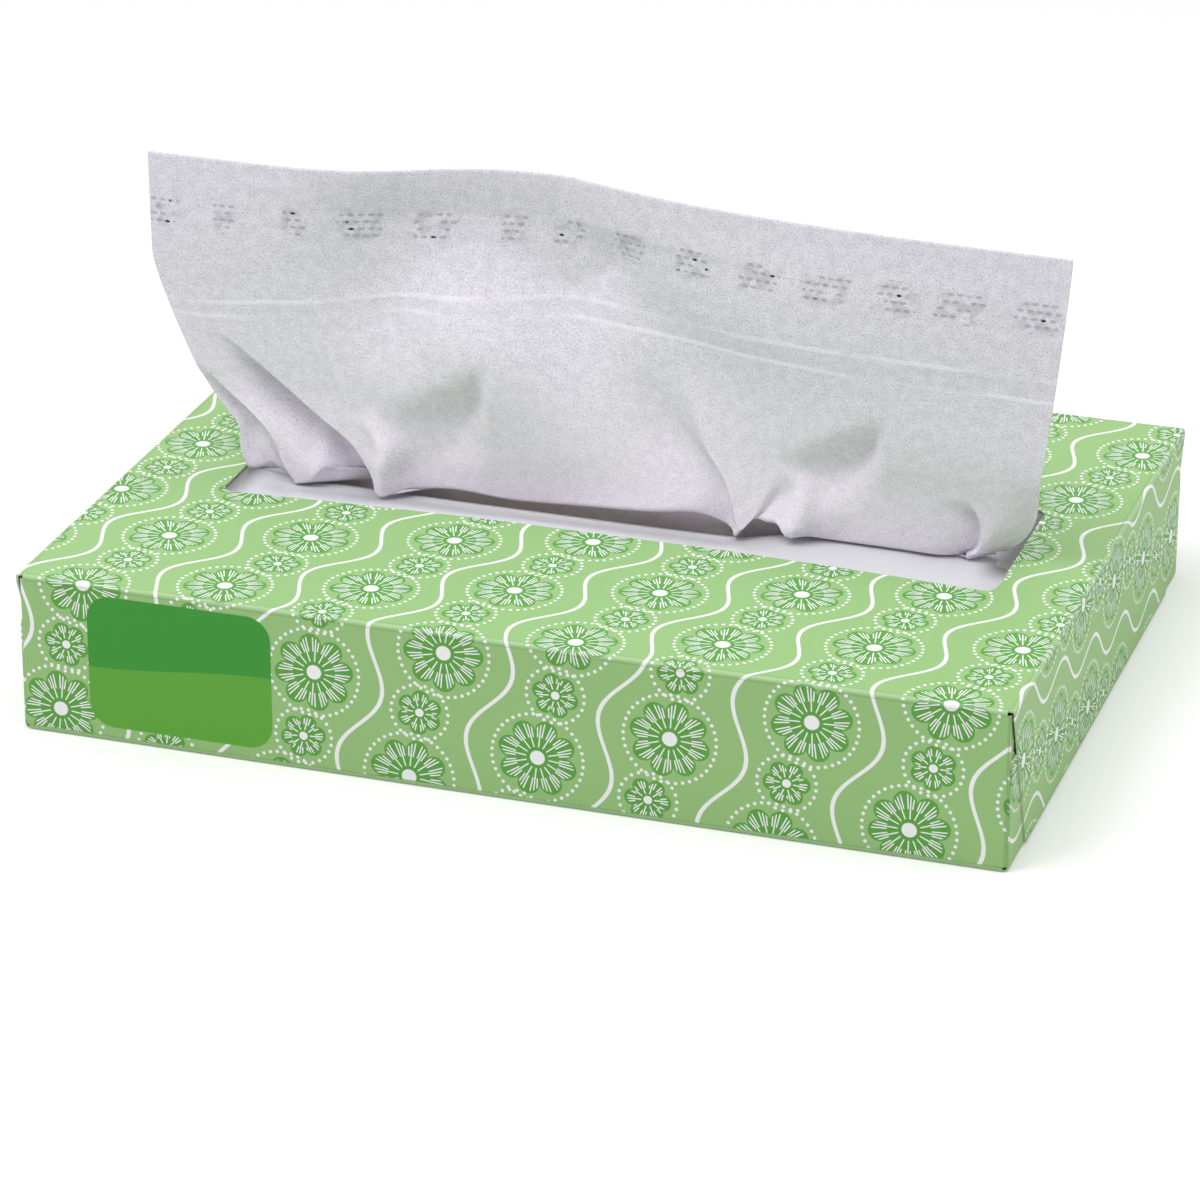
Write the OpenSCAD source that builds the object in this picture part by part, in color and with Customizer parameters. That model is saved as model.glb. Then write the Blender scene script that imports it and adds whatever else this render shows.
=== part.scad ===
/* [Carton] */
// Length of the carton along its long side
carton_l = 235; // [200:1:300]
// Depth of the carton from front to back
carton_w = 172; // [150:1:240]
// Height of the carton
carton_h = 39; // [37:1:90]
// Thickness of the carton board
board_t = 0.45; // [0.3:0.05:0.7]
// Outer radius of a folded board edge
fold_r = 0.9; // [0.8:0.05:1.5]
// Reach of each dust flap along the end of the carton
dust_flap_l = 52; // [20:1:70]
// How far each side of a dust flap tapers in towards its free edge
dust_flap_taper = 5; // [0:0.5:8]
// Height of the inner end flap that the bottom panel carries
inner_flap_h = 27; // [15:1:32]
// Height of the glue flap inside the back panel
glue_flap_h = 15; // [8:1:25]
// How much a dust flap or inner end flap is cut short at each free side
flap_relief = 0.8; // [0.5:0.1:2]
// How much the outer end flap is cut short at each side
outer_relief = 0.5; // [0.2:0.1:1.5]
// How far each side of the outer end flap tapers in towards its free edge
outer_taper = 15; // [0:0.5:20]

/* [Opening] */
// Width of the top panel left at each end of the opening, before the shift
opening_land = 23; // [20:1:40]
// Depth of the opening at its two ends
opening_end_w = 51; // [46:1:80]
// Depth of the opening at its narrow middle
opening_waist_w = 43; // [34:1:45]
// Corner radius of the opening
opening_r = 3.5; // [1:0.5:6]
// Distance that the opening is cut to the right of the middle
opening_shift = 3; // [-5:0.5:5]

/* [Film] */
// Thickness of the film under the opening
film_t = 0.12; // [0.05:0.01:0.3]
// Width of film glued to the board all round the opening
film_margin = 11; // [5:1:12]
// Distance from each end of the opening in to the end of the slit
slit_inset = 3.5; // [1:0.5:12]
// Gap between the two lips of the slit at its middle
slit_gap = 16; // [10:1:20]
// How far the lips of the slit sag below the top panel
lip_sag = 2.2; // [0:0.1:3]

/* [Tissues] */
// Room between each end of the clip of tissues and the outside of the carton
end_room = 5.5; // [3:0.5:15]
// Room between the folded edges of the clip and the front and back of the carton
side_room = 3; // [1.5:0.5:15]
// Room between the clip and the top panel
headroom = 9.1; // [8:0.1:24]
// Number of folded edges that show at the front of the clip
clip_folds = 20; // [10:1:30]
// Thickness of one tissue with its two plies
tissue_t = 0.4; // [0.2:0.05:0.6]

/* [Pop-up tissue] */
// Height of the standing tissue above the top panel
popup_h = 77; // [40:1:110]
// How far the lower left side is drawn in towards the slit
left_draw = 24; // [5:1:30]
// How far the right side is drawn in towards the slit
right_draw = 6; // [1:1:20]
// Radius of the rounded lower right corner
corner_r = 13; // [4:1:20]
// Depth of the upright hollow at the top edge
hollow_top = 17; // [0:0.5:20]
// Depth of the upright hollow at the cross crease
hollow_mid = 18; // [0:0.5:22]
// Depth of the long pleat that runs down to the left end of the slit
long_pleat = 7; // [0:0.5:9]
// Depth of the short pleat outside it
short_pleat = 5; // [0:0.5:7]
// Depth of the small fold at the left tip
tip_fold = 3.5; // [0:0.5:5]
// Depth of the dent beside the long pleat
left_dent = 8; // [0:0.5:10]
// Depth of the dent in the right half
right_dent = 6; // [0:0.5:8]
// Depth of the pleat that ends in the middle tip
middle_pleat = 6; // [0:0.5:8]
// Depth of the small pleat near the right end
small_pleat = 4.5; // [0:0.5:5]
// Radius of the roll where the tissue turns in under itself
roll_r = 1.6; // [1:0.1:2.5]

/* [Hidden] */
$fn = 48;

// Clearance of soft things to what they lie on or pass
soft_gap = 0.3;
// Gap between a raw board edge and the fold beside it
edge_gap = 0.6;

// Faces of the carton, layer by layer at each end
end_out = carton_l / 2;
end_mid = end_out - board_t;
end_in = end_mid - board_t;
front_y = -carton_w / 2;
back_y = carton_w / 2;
panel_end = end_in - fold_r;
top_under = carton_h - board_t;

// Outline of the opening, from the large circle that each long edge follows
opening_l = carton_l - 2 * opening_land;
slit_l = opening_l - 2 * slit_inset;
waist_rise = (opening_end_w - opening_waist_w) / 2;
waist_r = (pow(opening_l / 2, 2) + pow(waist_rise, 2)) / (2 * waist_rise);
waist_y = waist_r + opening_waist_w / 2;
// Each corner round reaches this far past the long edge, so that the two cross
corner_bite = 0.03;
corner_x = opening_l / 2 - opening_r;
corner_y = waist_y - sqrt(pow(waist_r + opening_r - corner_bite, 2) - pow(corner_x, 2));
tangent_x = corner_x * waist_r / (waist_r + opening_r);

// The clip of tissues and the sheet that lies on it
tissue_w = carton_l - 2 * end_room;
clip_w = carton_w - 2 * side_room;
clip_top = top_under - headroom;
fold_pitch = (clip_top - board_t) / clip_folds;
tail_z = clip_top + soft_gap + tissue_t / 2;
film_top = top_under;
lip_z = film_top - lip_sag;

// The standing tissue: its top edge, its lowest line and the line of the slit
stand_top = carton_h + popup_h;
stand_low = carton_h + 0.8;
stand_h = stand_top - stand_low;
slit_y = -2.5;
left_top_x = -tissue_w / 2 - 2.5;
right_top_x = left_top_x + tissue_w;
// Places on the tissue are shares: across from its left side, down from its top edge.
// A fold runs down from a place across and down to a place across at the foot, more or less bowed
short_fold = [0.004, 0.69, 0.052, 0.42];
long_fold = [0.040, 0.585, 0.150, 0.68];
tip_fold_at = [0.012, 0.86, 0.034, 1];
left_ridge = [0.204, 0.76, 0.195, 1];
middle_fold = [0.590, 0.50, 0.664, 1];
notch = [0.690, 0.84, 0.690, 1];
right_ridge = [0.712, 0.78, 0.728, 1];
small_fold = [0.922, 0.835, 0.950, 1];
// A dent has a left corner, an upper corner and a place that its right side runs down to
left_dent_at = [[0.190, 0.79], [0.356, 0.565], [0.310, 0.80]];
right_dent_at = [[0.695, 0.76], [0.822, 0.54], [0.800, 0.76]];
// Lobes at the foot: place across, half widths to the left and right, drop
lobes = [
    [0.068, 0.024, 0.016, 1.8], [0.197, 0.03, 0.06, 1.1], [0.37, 0.07, 0.15, 2.1],
    [0.661, 0.04, 0.014, 3.2], [0.690, 0.014, 0.034, -1.6], [0.80, 0.05, 0.06, 1.0],
    [0.97, 0.05, 0.03, 1.1]
];
// Grid columns run down between guides, closer together beside them
side_guide = [0, 0, 0, 1];
guides = [
    side_guide, short_fold, long_fold, [0.33, 0, 0.33, 1],
    middle_fold, notch, small_fold, [1, 0, 1, 1]
];
guide_cols = [4, 9, 10, 8, 5, 8, 5];
columns = concat(
    [for (j = [0 : len(guide_cols) - 1]) for (i = [0 : guide_cols[j] - 1])
        let (u = i / guide_cols[j]) [j, u - 0.11 * sin(360 * u)]],
    [[len(guides) - 2, 1]]);

function clamp(x) = min(1, max(0, x));
function smooth(a, b, x) = let (u = clamp((x - a) / (b - a))) u * u * (3 - 2 * u);
function mix(a, b, u) = a + (b - a) * u;
function bell(x) = exp(-x * x);

// Share of the way down a fold, and where it then is across the tissue
function way_down(fold, t) = clamp((t - fold[1]) / (1 - fold[1]));
function fold_at(fold, t) = mix(fold[0], fold[2], pow(way_down(fold, t), fold[3]));
// Distance from a fold, positive on its left
function left_of(fold, s, t) = (fold_at(fold, t) - s) * tissue_w;
// A pleat steps back on the left of its fold and comes forward again over its width
function pleat(fold, s, t, depth, width, edge, flat = [1.3, 1.3], lead = 0.4) =
    let (u = way_down(fold, t), d = left_of(fold, s, t))
    depth * smooth(0, lead, u) * exp(-pow(max(0, d) / width, mix(flat[0], flat[1], u)))
    / (1 + exp(-d / mix(edge[0], edge[1], u)));
// A ridge stands forward along its fold
function ridge(fold, s, t, rise, width) =
    -rise * bell(left_of(fold, s, t) / width) * smooth(0, 0.7, way_down(fold, t));
// Distance from the line through two places, positive below it
function below(a, b, s, t) =
    let (ax = (b[0] - a[0]) * tissue_w, az = (b[1] - a[1]) * stand_h)
    (ax * (t - a[1]) * stand_h - az * (s - a[0]) * tissue_w) / norm([ax, az]);
// A dent goes back below its upper edge and left of its right edge, deeper to the right, and fades down
function dent(at, side, s, t, depth, upper, right, fade) =
    let (way = clamp((s - at[0][0]) / (at[1][0] - at[0][0])))
    depth * mix(0.35, 1, way) * smooth(0, upper * mix(0.3, 1, way), below(at[0], at[1], s, t))
    * smooth(0, right, below(at[1], at[2], s, t))
    * smooth(0, 7, (s - side) * tissue_w) * (1 - smooth(fade, 1.02, t));

// Sides of the standing tissue, drawn in towards the slit
function left_x(t) = left_top_x + left_draw * smooth(0.33, 1.02, t);
function right_x(t) =
    let (u = clamp((t * stand_h - (stand_h - corner_r)) / corner_r))
    right_top_x - right_draw * pow(t, 1.2) - (corner_r - 3) * (1 - sqrt(1 - 0.98 * u * u));
// The upright hollow is a sharp bend at the top edge and widens downwards
function hollow(s, t) =
    let (g = smooth(0, 0.42, t), d = (s - mix(0.4125, 0.4576, g)) * tissue_w)
    let (soft = mix(2, 8, g), w = d < 0 ? mix(29.5, 33, g) : mix(45, 29, g))
    let (power = d < 0 ? mix(1.5, 2.3, g) : mix(1.3, 1.5, g))
    mix(hollow_top, hollow_mid, g) * (1 - 0.85 * smooth(0.4, 1.05, t))
    * exp(-pow(max(0, norm([d, soft]) - soft) / w, power));
function lobe(s) = sum_lobes(s, 0);
function sum_lobes(s, i) =
    i == len(lobes) ? 0
    : lobes[i][3] * bell((s - lobes[i][0]) / lobes[i][s < lobes[i][0] ? 1 : 2]) + sum_lobes(s, i + 1);
// The plain sheet leans a little, bellies out low down and is pulled forward at its lower left
left_y = -9;
right_y = -12.5;
lean = 2.2;
belly = 3.5;
left_pull = 4.5;
corner_turn = 5;
function plain_y(s, t) =
    mix(left_y, right_y, s) + lean * t - belly * bell((t - 0.78) / 0.2)
    - left_pull * smooth(0.72, 1, t) * (1 - smooth(0.14, 0.30, s)) * mix(0.55, 1, smooth(0, 0.05, s))
    + corner_turn * smooth(0.955, 1, s) * smooth(0.7, 1, t);
// How far the standing tissue lies behind the middle, with the width and sharpness of each fold
function stand_y(s, t) =
    plain_y(s, t) + hollow(s, t)
    + pleat(long_fold, s, t, long_pleat, 13, [1.6, 0.7], [1.1, 5])
    + pleat(short_fold, s, t, short_pleat, 4, [1.0, 0.6], [1.3, 2])
    + pleat(tip_fold_at, s, t, tip_fold, 4.5, [0.8, 0.6])
    + ridge(left_ridge, s, t, 4, 4)
    + dent(left_dent_at, 0.2, s, t, left_dent, 11, 5, 0.70)
    + pleat(middle_fold, s, t, middle_pleat, 14, [3.5, 1], lead = 0.6)
    + ridge(notch, s, t, -2.6, 3)
    + ridge(right_ridge, s, t, 2.5, 3.5)
    + dent(right_dent_at, 0.722, s, t, right_dent, 10, 4, 0.68)
    + pleat(small_fold, s, t, small_pleat, 5, [0.8, 0.6], lead = 0.3);
function stand(s, t) =
    [mix(left_x(t), right_x(t), s), stand_y(s, t), stand_top - t * (stand_h - roll_r - lift(s, t))];
function lift(s, t) = -lobe(s) * smooth(0.7, 1, t);

// Below its lowest line the tissue rolls under, drops through the slit and lies on the clip
function roll(s, u) =
    let (p = stand(s, 1), a = 180 + 78 * u)
    [p[0], p[1] + roll_r * (1 + cos(a)), p[2] + roll_r * sin(a)];
neck_room = (soft_gap + tissue_t - slit_y) / (slit_gap / 2);
neck_l = slit_l * sqrt(1 - pow(neck_room, 2)) - 8;
function neck_x(s) = opening_shift + (s - 0.5) * neck_l;
function neck(s, u) =
    let (a = roll(s, 1), b = [neck_x(s), slit_y, lip_z - 1.2])
    let (c = [mix(a[0], b[0], 0.9), mix(a[1], slit_y, 0.75), a[2] - 0.2])
    let (d = [b[0], slit_y - 0.4, mix(a[2], b[2], 0.35)])
    pow(1 - u, 3) * a + 3 * pow(1 - u, 2) * u * c + 3 * (1 - u) * u * u * d + pow(u, 3) * b;
tail_r = lip_z - 1.2 - tail_z;
tail_end = clip_w / 2 - 2;
function bend(s, u) =
    let (a = 180 + 90 * u)
    [neck_x(s) + u * (tail_x(s) - neck_x(s)) / 2, slit_y + tail_r * (1 + cos(a)),
     tail_z + tail_r * (1 + sin(a))];
function tail_x(s) = (s - 0.5) * (tissue_w - 6);
function tail(s, u) =
    let (a = bend(s, 1))
    [mix(a[0], tail_x(s), smooth(0, 0.5, u)), mix(a[1], tail_end, u), tail_z];

// Rows of the tissue from its top edge to the end of its tail
stand_rows = 28;
roll_rows = 3;
neck_rows = 4;
bend_rows = 3;
tail_rows = 4;
function sheet_row(r) =
    r <= stand_rows ? [0, r / stand_rows]
    : r <= stand_rows + roll_rows ? [1, (r - stand_rows) / roll_rows]
    : r <= stand_rows + roll_rows + neck_rows ? [2, (r - stand_rows - roll_rows) / neck_rows]
    : r <= stand_rows + roll_rows + neck_rows + bend_rows
        ? [3, (r - stand_rows - roll_rows - neck_rows) / bend_rows]
    : [4, (r - stand_rows - roll_rows - neck_rows - bend_rows) / tail_rows];
sheet_rows = stand_rows + roll_rows + neck_rows + bend_rows + tail_rows;
function sheet_point(part, s, u) =
    part == 0 ? stand(s, u)
    : part == 1 ? roll(s, u)
    : part == 2 ? neck(s, u)
    : part == 3 ? bend(s, u)
    : tail(s, u);
sheet_cols = len(columns) - 1;
function col_share(c, t) =
    let (j = columns[c][0]) mix(fold_at(guides[j], t), fold_at(guides[j + 1], t), columns[c][1]);

// Points, sides and faces of a thin sheet from a grid of its middle points
function unit(v) = v / max(norm(v), 0.000001);
function grid_normal(g, r, c) =
    let (rows = len(g) - 1, cols = len(g[0]) - 1)
    let (down = g[min(r + 1, rows)][c] - g[max(r - 1, 0)][c])
    let (side = g[r][min(c + 1, cols)] - g[r][max(c - 1, 0)])
    unit(cross(side, down));
function sheet_shell(g, t) =
    [for (k = [-1, 1]) for (r = [0 : len(g) - 1]) for (c = [0 : len(g[0]) - 1])
        g[r][c] + grid_normal(g, r, c) * k * t / 2];
function sheet_faces(rows, cols) =
    let (w = cols + 1, n = (rows + 1) * (cols + 1))
    concat(
        [for (r = [0 : rows - 1]) for (c = [0 : cols - 1]) for (k = [0, 1])
            let (a = r * w + c)
            k == 0 ? [a, a + 1, a + w] : [a + 1, a + w + 1, a + w]],
        [for (r = [0 : rows - 1]) for (c = [0 : cols - 1]) for (k = [0, 1])
            let (a = n + r * w + c)
            k == 0 ? [a, a + w, a + 1] : [a + 1, a + w, a + w + 1]],
        [for (c = [0 : cols - 1]) for (k = [0, 1])
            k == 0 ? [c, n + c, c + 1] : [c + 1, n + c, n + c + 1]],
        [for (c = [0 : cols - 1]) for (k = [0, 1])
            let (a = rows * w + c)
            k == 0 ? [a, a + 1, n + a] : [a + 1, n + a + 1, n + a]],
        [for (r = [0 : rows - 1]) for (k = [0, 1])
            let (a = r * w)
            k == 0 ? [a, a + w, n + a] : [a + w, n + a + w, n + a]],
        [for (r = [0 : rows - 1]) for (k = [0, 1])
            let (a = r * w + cols)
            k == 0 ? [a, n + a, a + w] : [a + w, n + a, n + a + w]]);

// Film: rings of points from its outer edge in to the oval of the slit
film_half_l = opening_l / 2 + film_margin;
film_half_w = opening_end_w / 2 + film_margin;
side_cols = 34;
end_cols = 5;
end_turn = 17;
function film_turn(c) =
    let (q = side_cols + end_cols, k = c % q, half = floor(c / q) * 180)
    half + (k < end_cols ? asin((2 * k / end_cols - 1) * sin(end_turn))
        : acos((1 - 2 * (k - end_cols) / side_cols) * cos(end_turn)));
film_cols = 2 * (side_cols + end_cols);
film_steps = [0, 0.42, 0.56, 0.68, 0.8, 0.91, 1];
function span(x) = min(1, max(-1, x));
function film_plan(c, w) =
    let (a = film_turn(c))
    let (out = [film_half_l * span(cos(a) / cos(end_turn)), film_half_w * span(sin(a) / sin(end_turn))])
    let (in = [slit_l / 2 * cos(a), slit_gap / 2 * sin(a)])
    mix(out, in, w);
// Half depth of the opening at a place along it
function opening_half(x) = waist_y - sqrt(pow(waist_r, 2) - pow(x, 2));
function film_sag(x, y) =
    let (inner = opening_half(min(abs(x), opening_l / 2)))
    let (u = clamp((inner - abs(y)) / (inner - slit_gap / 2)), e = clamp((opening_l / 2 - abs(x)) / 16))
    lip_sag * smooth(0, 1, u) * smooth(0, 1, e) * mix(1, 0.55, smooth(25, 40, x));
function film_ring(w) =
    [for (c = [0 : film_cols - 1]) let (p = film_plan(c, w))
        [opening_shift + p[0], p[1], film_top - film_sag(p[0], p[1])]];

module quarter_bend(turn) {
    rotate(turn)
        intersection() {
            difference() {
                circle(fold_r);
                circle(fold_r - board_t);
            }
            square(fold_r);
        }
}

// Section of the four panels and the glue flap, seen along the carton
module wrap_section() {
    straight = carton_h - 2 * fold_r;
    translate([front_y + fold_r, 0])
        square([carton_w - 2 * fold_r - board_t, board_t]);
    translate([front_y + fold_r, fold_r])
        quarter_bend(180);
    translate([front_y, fold_r])
        square([board_t, straight]);
    translate([front_y + fold_r, carton_h - fold_r])
        quarter_bend(90);
    translate([front_y + fold_r, top_under])
        square([carton_w - 2 * fold_r, board_t]);
    translate([back_y - fold_r, carton_h - fold_r])
        quarter_bend(0);
    translate([back_y - board_t, edge_gap])
        square([board_t, carton_h - fold_r - edge_gap]);
    translate([back_y - board_t - fold_r, fold_r])
        quarter_bend(270);
    translate([back_y - 2 * board_t, fold_r])
        square([board_t, glue_flap_h - fold_r]);
}

// Turns a section drawn in depth and height so that it runs along the carton
module along_x(from, to) {
    translate([from, 0, 0])
        rotate([90, 0, 90])
            linear_extrude(to - from)
                children();
}

// One dust flap, with its fold at the end of the front or back panel
module dust_flap(side) {
    low = board_t + flap_relief;
    high = carton_h - board_t - flap_relief;
    tip = front_y + dust_flap_l;
    mirror([0, side > 0 ? 1 : 0, 0])
        intersection() {
            translate([0, 0, low])
                linear_extrude(high - low) {
                    translate([panel_end, front_y + fold_r])
                        quarter_bend(270);
                    translate([end_in - board_t, front_y + fold_r])
                        square([board_t, dust_flap_l - fold_r]);
                }
            along_x(panel_end - fold_r, end_out)
                polygon([
                    [front_y - fold_r, low - fold_r],
                    [tip - dust_flap_taper - fold_r, low - fold_r],
                    [tip, low + dust_flap_taper],
                    [tip, high - dust_flap_taper],
                    [tip - dust_flap_taper - fold_r, high + fold_r],
                    [front_y - fold_r, high + fold_r]
                ]);
        }
}

// Section of a full-width end flap with its fold, from the panel that carries it
module end_flap_section(face, reach) {
    translate([panel_end, 0])
        square([face - fold_r - panel_end, board_t]);
    translate([face - fold_r, fold_r])
        quarter_bend(270);
    translate([face - board_t, fold_r])
        square([board_t, reach - fold_r]);
}

module end_flap(face, reach, relief) {
    translate([0, carton_w / 2 - relief, 0])
        rotate([90, 0, 0])
            linear_extrude(carton_w - 2 * relief)
                end_flap_section(face, reach);
}

// The outer end flap comes down from the top panel and tapers to its free edge
module outer_flap() {
    half = carton_w / 2;
    intersection() {
        translate([0, 0, carton_h])
            mirror([0, 0, 1])
                end_flap(end_out, carton_h - edge_gap, outer_relief);
        along_x(panel_end - fold_r, end_out + fold_r)
            polygon([
                [-half, carton_h + fold_r],
                [half, carton_h + fold_r],
                [half, carton_h - fold_r],
                [half - outer_taper, 0],
                [outer_taper - half, 0],
                [-half, carton_h - fold_r]
            ]);
    }
}

module carton_end() {
    dust_flap(-1);
    dust_flap(1);
    end_flap(end_mid, inner_flap_h, flap_relief);
    outer_flap();
}

// Opening with a long curved edge at the front and back and rounded corners
module opening_outline() {
    difference() {
        square([2 * tangent_x, opening_end_w], center = true);
        for (side = [-1, 1])
            translate([0, side * waist_y])
                circle(waist_r, $fn = 720);
    }
    square([opening_l, 2 * corner_y], center = true);
    for (sx = [-1, 1], sy = [-1, 1])
        translate([sx * corner_x, sy * corner_y])
            circle(opening_r);
}

module carton() {
    color([0.62, 0.80, 0.54])
        difference() {
            union() {
                along_x(-panel_end, panel_end)
                    wrap_section();
                carton_end();
                mirror([1, 0, 0])
                    carton_end();
            }
            translate([opening_shift, 0, carton_h - 2 * board_t])
                linear_extrude(3 * board_t)
                    opening_outline();
        }
}

module slit_film() {
    rings = [for (w = film_steps) film_ring(w)];
    n = film_cols;
    m = len(film_steps);
    points = [for (k = [0, 1]) for (ring = rings) for (p = ring) p - [0, 0, k * film_t]];
    faces = concat(
        [for (r = [0 : m - 2]) for (c = [0 : n - 1]) for (k = [0, 1])
            let (a = r * n + c, b = r * n + (c + 1) % n)
            k == 0 ? [a, b, a + n] : [b, b + n, a + n]],
        [for (r = [0 : m - 2]) for (c = [0 : n - 1]) for (k = [0, 1])
            let (a = m * n + r * n + c, b = m * n + r * n + (c + 1) % n)
            k == 0 ? [a, a + n, b] : [b, a + n, b + n]],
        [for (c = [0 : n - 1]) for (k = [0, 1])
            let (a = c, b = (c + 1) % n)
            k == 0 ? [a, m * n + a, b] : [b, m * n + a, m * n + b]],
        [for (c = [0 : n - 1]) for (k = [0, 1])
            let (a = (m - 1) * n + c, b = (m - 1) * n + (c + 1) % n)
            k == 0 ? [a, b, m * n + a] : [b, m * n + b, m * n + a]]);
    color([0.8, 0.82, 0.84, 0.6])
        polyhedron(points, [for (f = faces) [f[0], f[2], f[1]]]);
}

// The clip of folded tissues: each folded edge is a small round along its length
module tissue_stack() {
    core = clip_w - fold_pitch;
    color([0.93, 0.94, 0.95])
        along_x(-tissue_w / 2, tissue_w / 2) {
            translate([-core / 2, board_t])
                square([core, clip_top - board_t]);
            for (side = [-1, 1], i = [0 : clip_folds - 1])
                translate([side * core / 2, board_t + (i + 0.5) * fold_pitch])
                    circle(fold_pitch / 2, $fn = 16);
        }
}

module popup_tissue() {
    grid = [for (r = [0 : sheet_rows]) let (q = sheet_row(r))
        [for (c = [0 : sheet_cols]) sheet_point(q[0], col_share(c, q[0] == 0 ? q[1] : 1), q[1])]];
    color([0.9, 0.92, 0.94])
        polyhedron(sheet_shell(grid, tissue_t), sheet_faces(sheet_rows, sheet_cols));
}

carton();
slit_film();
tissue_stack();
popup_tissue();
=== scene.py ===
"""Looks of a flat tissue box: printed carton, slit film, clip of tissues and the tissue pulled up from it."""

import math

import bmesh
import bpy
import numpy as np
from bpy.props import FloatProperty, FloatVectorProperty, IntProperty, PointerProperty
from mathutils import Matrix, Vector


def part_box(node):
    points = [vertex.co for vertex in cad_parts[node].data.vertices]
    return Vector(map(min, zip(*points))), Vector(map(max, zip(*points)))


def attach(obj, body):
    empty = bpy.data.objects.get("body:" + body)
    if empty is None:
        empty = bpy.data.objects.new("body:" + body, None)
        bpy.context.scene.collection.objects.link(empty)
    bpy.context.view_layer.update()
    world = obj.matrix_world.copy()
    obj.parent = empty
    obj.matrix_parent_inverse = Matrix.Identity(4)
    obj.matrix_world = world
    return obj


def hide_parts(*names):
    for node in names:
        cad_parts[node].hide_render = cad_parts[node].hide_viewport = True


bl_info = {
    "name": "Tissue box",
    "version": (1, 0, 0),
    "blender": (4, 5, 0),
    "location": "View3D > Sidebar > Tissue box",
    "description": "Dresses the tissue box's CAD frame and builds its film and its pop-up tissue",
    "category": "Object",
}

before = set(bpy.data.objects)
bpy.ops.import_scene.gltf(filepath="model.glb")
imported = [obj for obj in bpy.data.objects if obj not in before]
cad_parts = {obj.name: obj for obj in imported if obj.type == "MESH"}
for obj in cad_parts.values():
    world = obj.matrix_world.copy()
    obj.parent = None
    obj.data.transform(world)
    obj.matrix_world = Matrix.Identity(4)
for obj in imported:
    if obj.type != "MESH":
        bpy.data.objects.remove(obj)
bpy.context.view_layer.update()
CARTON_LOW, CARTON_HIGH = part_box("carton")
CARTON_L, CARTON_W, CARTON_H = CARTON_HIGH - CARTON_LOW
FILM_LOW, FILM_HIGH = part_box("slit_film")
STACK_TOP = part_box("tissue_stack")[1].z
STAND_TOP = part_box("popup_tissue")[1].z

MM = 0.001

# The carton's board, as its CAD node has it
FOLD_R = 0.9 * MM
# The opening in its top panel
OPENING_L = 189 * MM
OPENING_END_W = 51 * MM
OPENING_WAIST_W = 43 * MM
OPENING_SHIFT = 3 * MM
# The slit in the film
SLIT_L = 182 * MM
SLIT_GAP = 16 * MM
# The camera at the photograph's viewing angle: place, turn about x, y and z in degrees, focal length
CAMERA_PLACE = Vector((343.15, -1061.89, 509.92)) * MM
CAMERA_ANGLES = (65.9816, -0.1049, 18.198)
CAMERA_LENS = 153.56
CAMERA_CLIP = (0.05, 30)
# The floor lies just below the carton, so that their faces don't meet
FLOOR_HALF = 6
FLOOR_GAP = 0.05 * MM


def length(name, description, default):
    """A size property, given in metres."""
    return FloatProperty(name=name, description=description, default=default, unit="LENGTH", precision=5)


def colour(name, description, default):
    """A colour property, given as linear red, green and blue."""
    return FloatVectorProperty(
        name=name, description=description, default=default, subtype="COLOR", size=3, min=0, max=1
    )


def power(name, description, default):
    """A lamp's power, given in watts."""
    return FloatProperty(name=name, description=description, default=default, unit="POWER")


class CartonPrint(bpy.types.PropertyGroup):
    ground: colour("Ground", "Printed ground all over the board", (0.294, 0.505, 0.193))
    petal: colour("Petals", "Darker green of the rosettes", (0.100, 0.335, 0.045))
    white: colour("White", "Unprinted white of lines, dots and rosette hearts", (0.86, 0.86, 0.86))
    badge_upper: colour("Badge, upper", "Upper field of the plain panel at the front", (0.038, 0.285, 0.030))
    badge_lower: colour("Badge, lower", "Lower field of the plain panel at the front", (0.108, 0.362, 0.036))
    board: colour("Board", "Raw inside of the board", (0.52, 0.46, 0.40))
    # Partly painted highlight: the outer cut edges carry the ink, made lighter than the ground for the light
    # that the corners catch
    cut_edge_ink_and_highlight: colour("Cut edge", "Cut edges at the outside, where the ink reaches over", (0.46, 0.60, 0.38))
    # Painted shade: the thin grey line below each fold stands for the shade beside the fold
    fold_shade_line: colour("Fold line", "Thin grey line beside each fold", (0.10, 0.13, 0.09))
    badge_x: length("Badge, across", "Middle of the plain panel along the carton", -77.6 * MM)
    badge_z: length("Badge, up", "Height of the plain panel's middle", 20 * MM)
    badge_w: length("Badge width", "Width of the plain panel", 45 * MM)
    badge_h: length("Badge height", "Height of the plain panel", 32.8 * MM)
    badge_r: length("Badge corners", "Radius of the plain panel's corners", 6 * MM)
    badge_wave: length("Badge wave", "Height of the wave between its two fields", 1.6 * MM)
    print_turn: FloatProperty(name="Print turn", description="Turn of the print", default=math.radians(14))
    print_shift_u: length("Print shift, along", "Shift of the print along the carton", 6 * MM)
    print_shift_v: length("Print shift, across", "Shift of the print across the carton", 9 * MM)
    column_pitch: length("Column pitch", "Distance between columns of rosettes", 28 * MM)
    row_pitch: length("Row pitch", "Distance between rosettes in one column", 33 * MM)
    rosette_r: length("Rosette radius", "Radius of a large rosette", 9.5 * MM)
    bud_r: length("Bud radius", "Radius of a small rosette", 5.5 * MM)
    vine_sway: length("Vine sway", "How far the wavy line between two columns sways to each side", 3.5 * MM)
    vine_w: length("Vine width", "Width of the wavy line between two columns", 1.0 * MM)


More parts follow.
